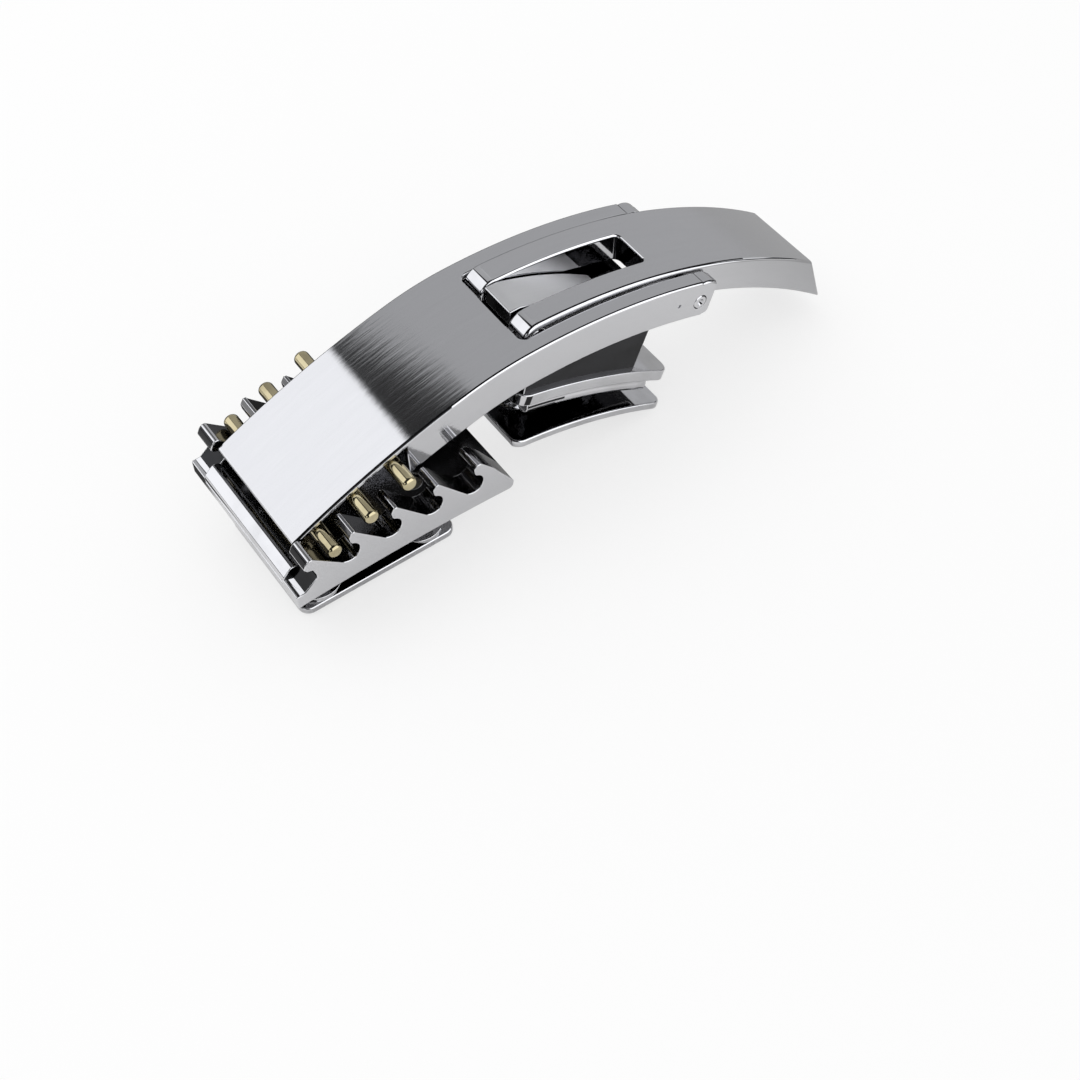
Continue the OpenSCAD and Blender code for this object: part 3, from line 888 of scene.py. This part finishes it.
class BUCKLE_OT_mount_screws(bpy.types.Operator):
    """The mount's two screws with conical undersides"""

    bl_idname = "buckle.mount_screws"
    bl_label = "Mount screws"

    def execute(self, context):
        stock = materials()
        nodes = ["mount_screw_1", "mount_screw_2"]
        centre_x, centre_z, radius = MOUNT_CIRCLE
        blank = screw_blank(MOUNT_HEAD_RADIUS, MOUNT_HEAD_RIM, MOUNT_SCREW_REACH + 1 * MM, MOUNT_HEAD_CONE)
        pick(blank, "edges", lambda middle, edge: middle.xy.length > MOUNT_HEAD_RADIUS - 0.1 * MM)
        bpy.ops.mesh.bevel(offset=0.3 * MM, segments=3, profile=0.5)
        cut(blank, drive_cutter(context.scene.buckle_sizes.recess_length, 2.0 * MM))
        line = Matrix.Translation((centre_x, 0, centre_z)) @ Matrix.Rotation(MOUNT_SCREW_TILT, 4, "Y")
        places = []
        for side, shorter, turn in ((-1, 0.6 * MM, 20), (1, 0, 65)):
            head = (side * MOUNT_SCREW_PITCH / 2, 0, radius - MOUNT_SCREW_REACH + shorter)
            places.append(line @ Matrix.Translation(head) @ turned_over(turn))
        place_screws(blank, places, "mount_screw_finished", "mount", nodes, stock["Screw nickel"])
        return {"FINISHED"}


# Stage


class BUCKLE_OT_stage(bpy.types.Operator):
    """The floor, the studio round it, the lamp and the camera"""

    bl_idname = "buckle.stage"
    bl_label = "Stage"

    def execute(self, context):
        self.floor(context)
        self.studio(context)
        self.lamp()
        self.camera(context)
        context.scene.view_settings.view_transform = "Standard"
        return {"FINISHED"}

    def floor(self, context):
        """A plain pale floor, with painted dark patches that show only in the reflections of polished metal.
        """
        select_none()
        bpy.ops.mesh.primitive_plane_add(size=FLOOR_SIZE, location=(0, 0, 0))
        floor = context.object
        floor.name = "floor"
        material = bpy.data.materials.new("Floor")
        material.use_nodes = True
        tree = material.node_tree
        shader = tree.nodes["Principled BSDF"]
        colour = context.scene.buckle_finish.floor_colour
        place = tree.nodes.new("ShaderNodeTexCoord")
        cloud = noise(tree, place.outputs["Object"], 3.0, 1.0)
        split = tree.nodes.new("ShaderNodeSeparateXYZ")
        tree.links.new(place.outputs["Object"], split.inputs[0])
        level = 1.0
        for (x, y), length, width, soft, share in PAINTED_DARK_REFLECTIONS:
            mask = None
            for socket, middle, half in ((split.outputs["X"], x, length), (split.outputs["Y"], y, width)):
                away = math_node(tree, "ABSOLUTE", math_node(tree, "SUBTRACT", socket, middle))
                inside = spread(tree, away, half, half + soft, 1.0, 0.0)
                mask = inside if mask is None else math_node(tree, "MULTIPLY", mask, inside)
            level = mixed(tree, mask, level, share)
        path = tree.nodes.new("ShaderNodeLightPath")
        plain = mixed(tree, path.outputs["Is Camera Ray"], 1.0, FLOOR_SHADED)
        level = mixed(tree, path.outputs["Is Glossy Ray"], plain, level)
        glow = tree.nodes.new("ShaderNodeVectorMath")
        glow.operation = "SCALE"
        glow.inputs[0].default_value = colour
        tree.links.new(path.outputs["Is Camera Ray"], glow.inputs["Scale"])
        tree.links.new(glow.outputs[0], shader.inputs["Emission Color"])
        shader.inputs["Emission Strength"].default_value = FLOOR_GLOW
        shade = tree.nodes.new("ShaderNodeVectorMath")
        shade.operation = "SCALE"
        clouded = tint(tree, cloud, colour, tuple(c * 0.985 for c in colour))
        tree.links.new(clouded, shade.inputs[0])
        tree.links.new(level, shade.inputs["Scale"])
        tree.links.new(shade.outputs[0], shader.inputs["Base Color"])
        shader.inputs["Roughness"].default_value = 0.9
        shader.inputs["Specular IOR Level"].default_value = 0.0
        floor.data.materials.append(material)

    def studio(self, context):
        """A white surround for plain surfaces, and light panels in the dark for polished ones."""
        world = bpy.data.worlds.new("Studio")
        context.scene.world = world
        world.use_nodes = True
        tree = world.node_tree
        tree.nodes.clear()
        out = tree.nodes.new("ShaderNodeOutputWorld")
        seen = tree.nodes.new("ShaderNodeBackground")
        mirrored = tree.nodes.new("ShaderNodeBackground")
        path = tree.nodes.new("ShaderNodeLightPath")
        mix = tree.nodes.new("ShaderNodeMixShader")
        tree.links.new(path.outputs["Is Glossy Ray"], mix.inputs[0])
        tree.links.new(seen.outputs[0], mix.inputs[1])
        tree.links.new(mirrored.outputs[0], mix.inputs[2])
        tree.links.new(mix.outputs[0], out.inputs[0])
        place = tree.nodes.new("ShaderNodeTexCoord")
        panel = make_panel_group()
        level = SKY_BASE
        for towards, sideways, width, height, soft, brightness in SKY_PANELS:
            centre = Vector(towards).normalized()
            sideways = Vector(sideways)
            right = (sideways - centre * centre.dot(sideways)).normalized()
            mask = group_node(tree, panel, place.outputs["Generated"], Centre=centre, Right=right,
                              Up=centre.cross(right), Width=width, Height=height, Soft=soft).outputs[0]
            level = mixed(tree, mask, level, brightness)
        tree.links.new(level, mirrored.inputs["Strength"])
        seen.inputs["Color"].default_value = (1, 1, 1, 1)
        mirrored.inputs["Color"].default_value = (0.97, 0.98, 1.0, 1)

    def lamp(self):
        """A soft lamp from behind on the left, which polished metal doesn't mirror."""
        bpy.ops.object.light_add(type="AREA", location=LAMP_PLACE)
        lamp = bpy.context.object
        lamp.name = "key_lamp"
        lamp.data.energy = LAMP_POWER
        lamp.data.size = LAMP_SIZE
        lamp.visible_glossy = False
        lamp.rotation_mode = "QUATERNION"
        lamp.rotation_quaternion = (-LAMP_PLACE).to_track_quat("-Z", "Y")

    def camera(self, context):
        """The view from above the left near corner."""
        bpy.ops.object.camera_add(location=CAMERA_PLACE)
        camera = context.object
        camera.name = "camera"
        aim = (CAMERA_TARGET - CAMERA_PLACE).to_track_quat("-Z", "Y").to_matrix()
        turn = aim @ Matrix.Rotation(CAMERA_ROLL, 3, "Z")
        camera.matrix_world = Matrix.Translation(CAMERA_PLACE) @ turn.to_4x4()
        camera.data.lens = CAMERA_LENS
        camera.data.sensor_width = 36
        camera.data.clip_start = 0.01
        camera.data.clip_end = 20
        context.scene.camera = camera


class BUCKLE_PT_panel(bpy.types.Panel):
    """Lists the buckle's pieces, sizes and finishes"""

    bl_idname = "BUCKLE_PT_panel"
    bl_label = "Lever buckle"
    bl_space_type = "VIEW_3D"
    bl_region_type = "UI"
    bl_category = "Buckle"

    def draw(self, context):
        for settings in (context.scene.buckle_sizes, context.scene.buckle_finish):
            box = self.layout.box()
            for name in settings.bl_rna.properties.keys():
                if name not in ("rna_type", "name"):
                    box.prop(settings, name)
        for step in PIECES:
            self.layout.operator(step.bl_idname)


PIECES = (
    BUCKLE_OT_frame,
    BUCKLE_OT_cross_pins,
    BUCKLE_OT_lever,
    BUCKLE_OT_rivets,
    BUCKLE_OT_mount,
    BUCKLE_OT_rack,
    BUCKLE_OT_clamps,
    BUCKLE_OT_pan_screws,
    BUCKLE_OT_mount_screws,
    BUCKLE_OT_stage,
)
CLASSES = (BuckleSizes, BuckleFinish, *PIECES, BUCKLE_PT_panel)


def register():
    for item in CLASSES:
        bpy.utils.register_class(item)
    bpy.types.Scene.buckle_sizes = bpy.props.PointerProperty(type=BuckleSizes)
    bpy.types.Scene.buckle_finish = bpy.props.PointerProperty(type=BuckleFinish)


def unregister():
    del bpy.types.Scene.buckle_finish
    del bpy.types.Scene.buckle_sizes
    for item in reversed(CLASSES):
        bpy.utils.unregister_class(item)


def main():
    register()
    for step in PIECES:
        package, name = step.bl_idname.split(".")
        getattr(getattr(bpy.ops, package), name)()


if __name__ == "__main__":
    main()
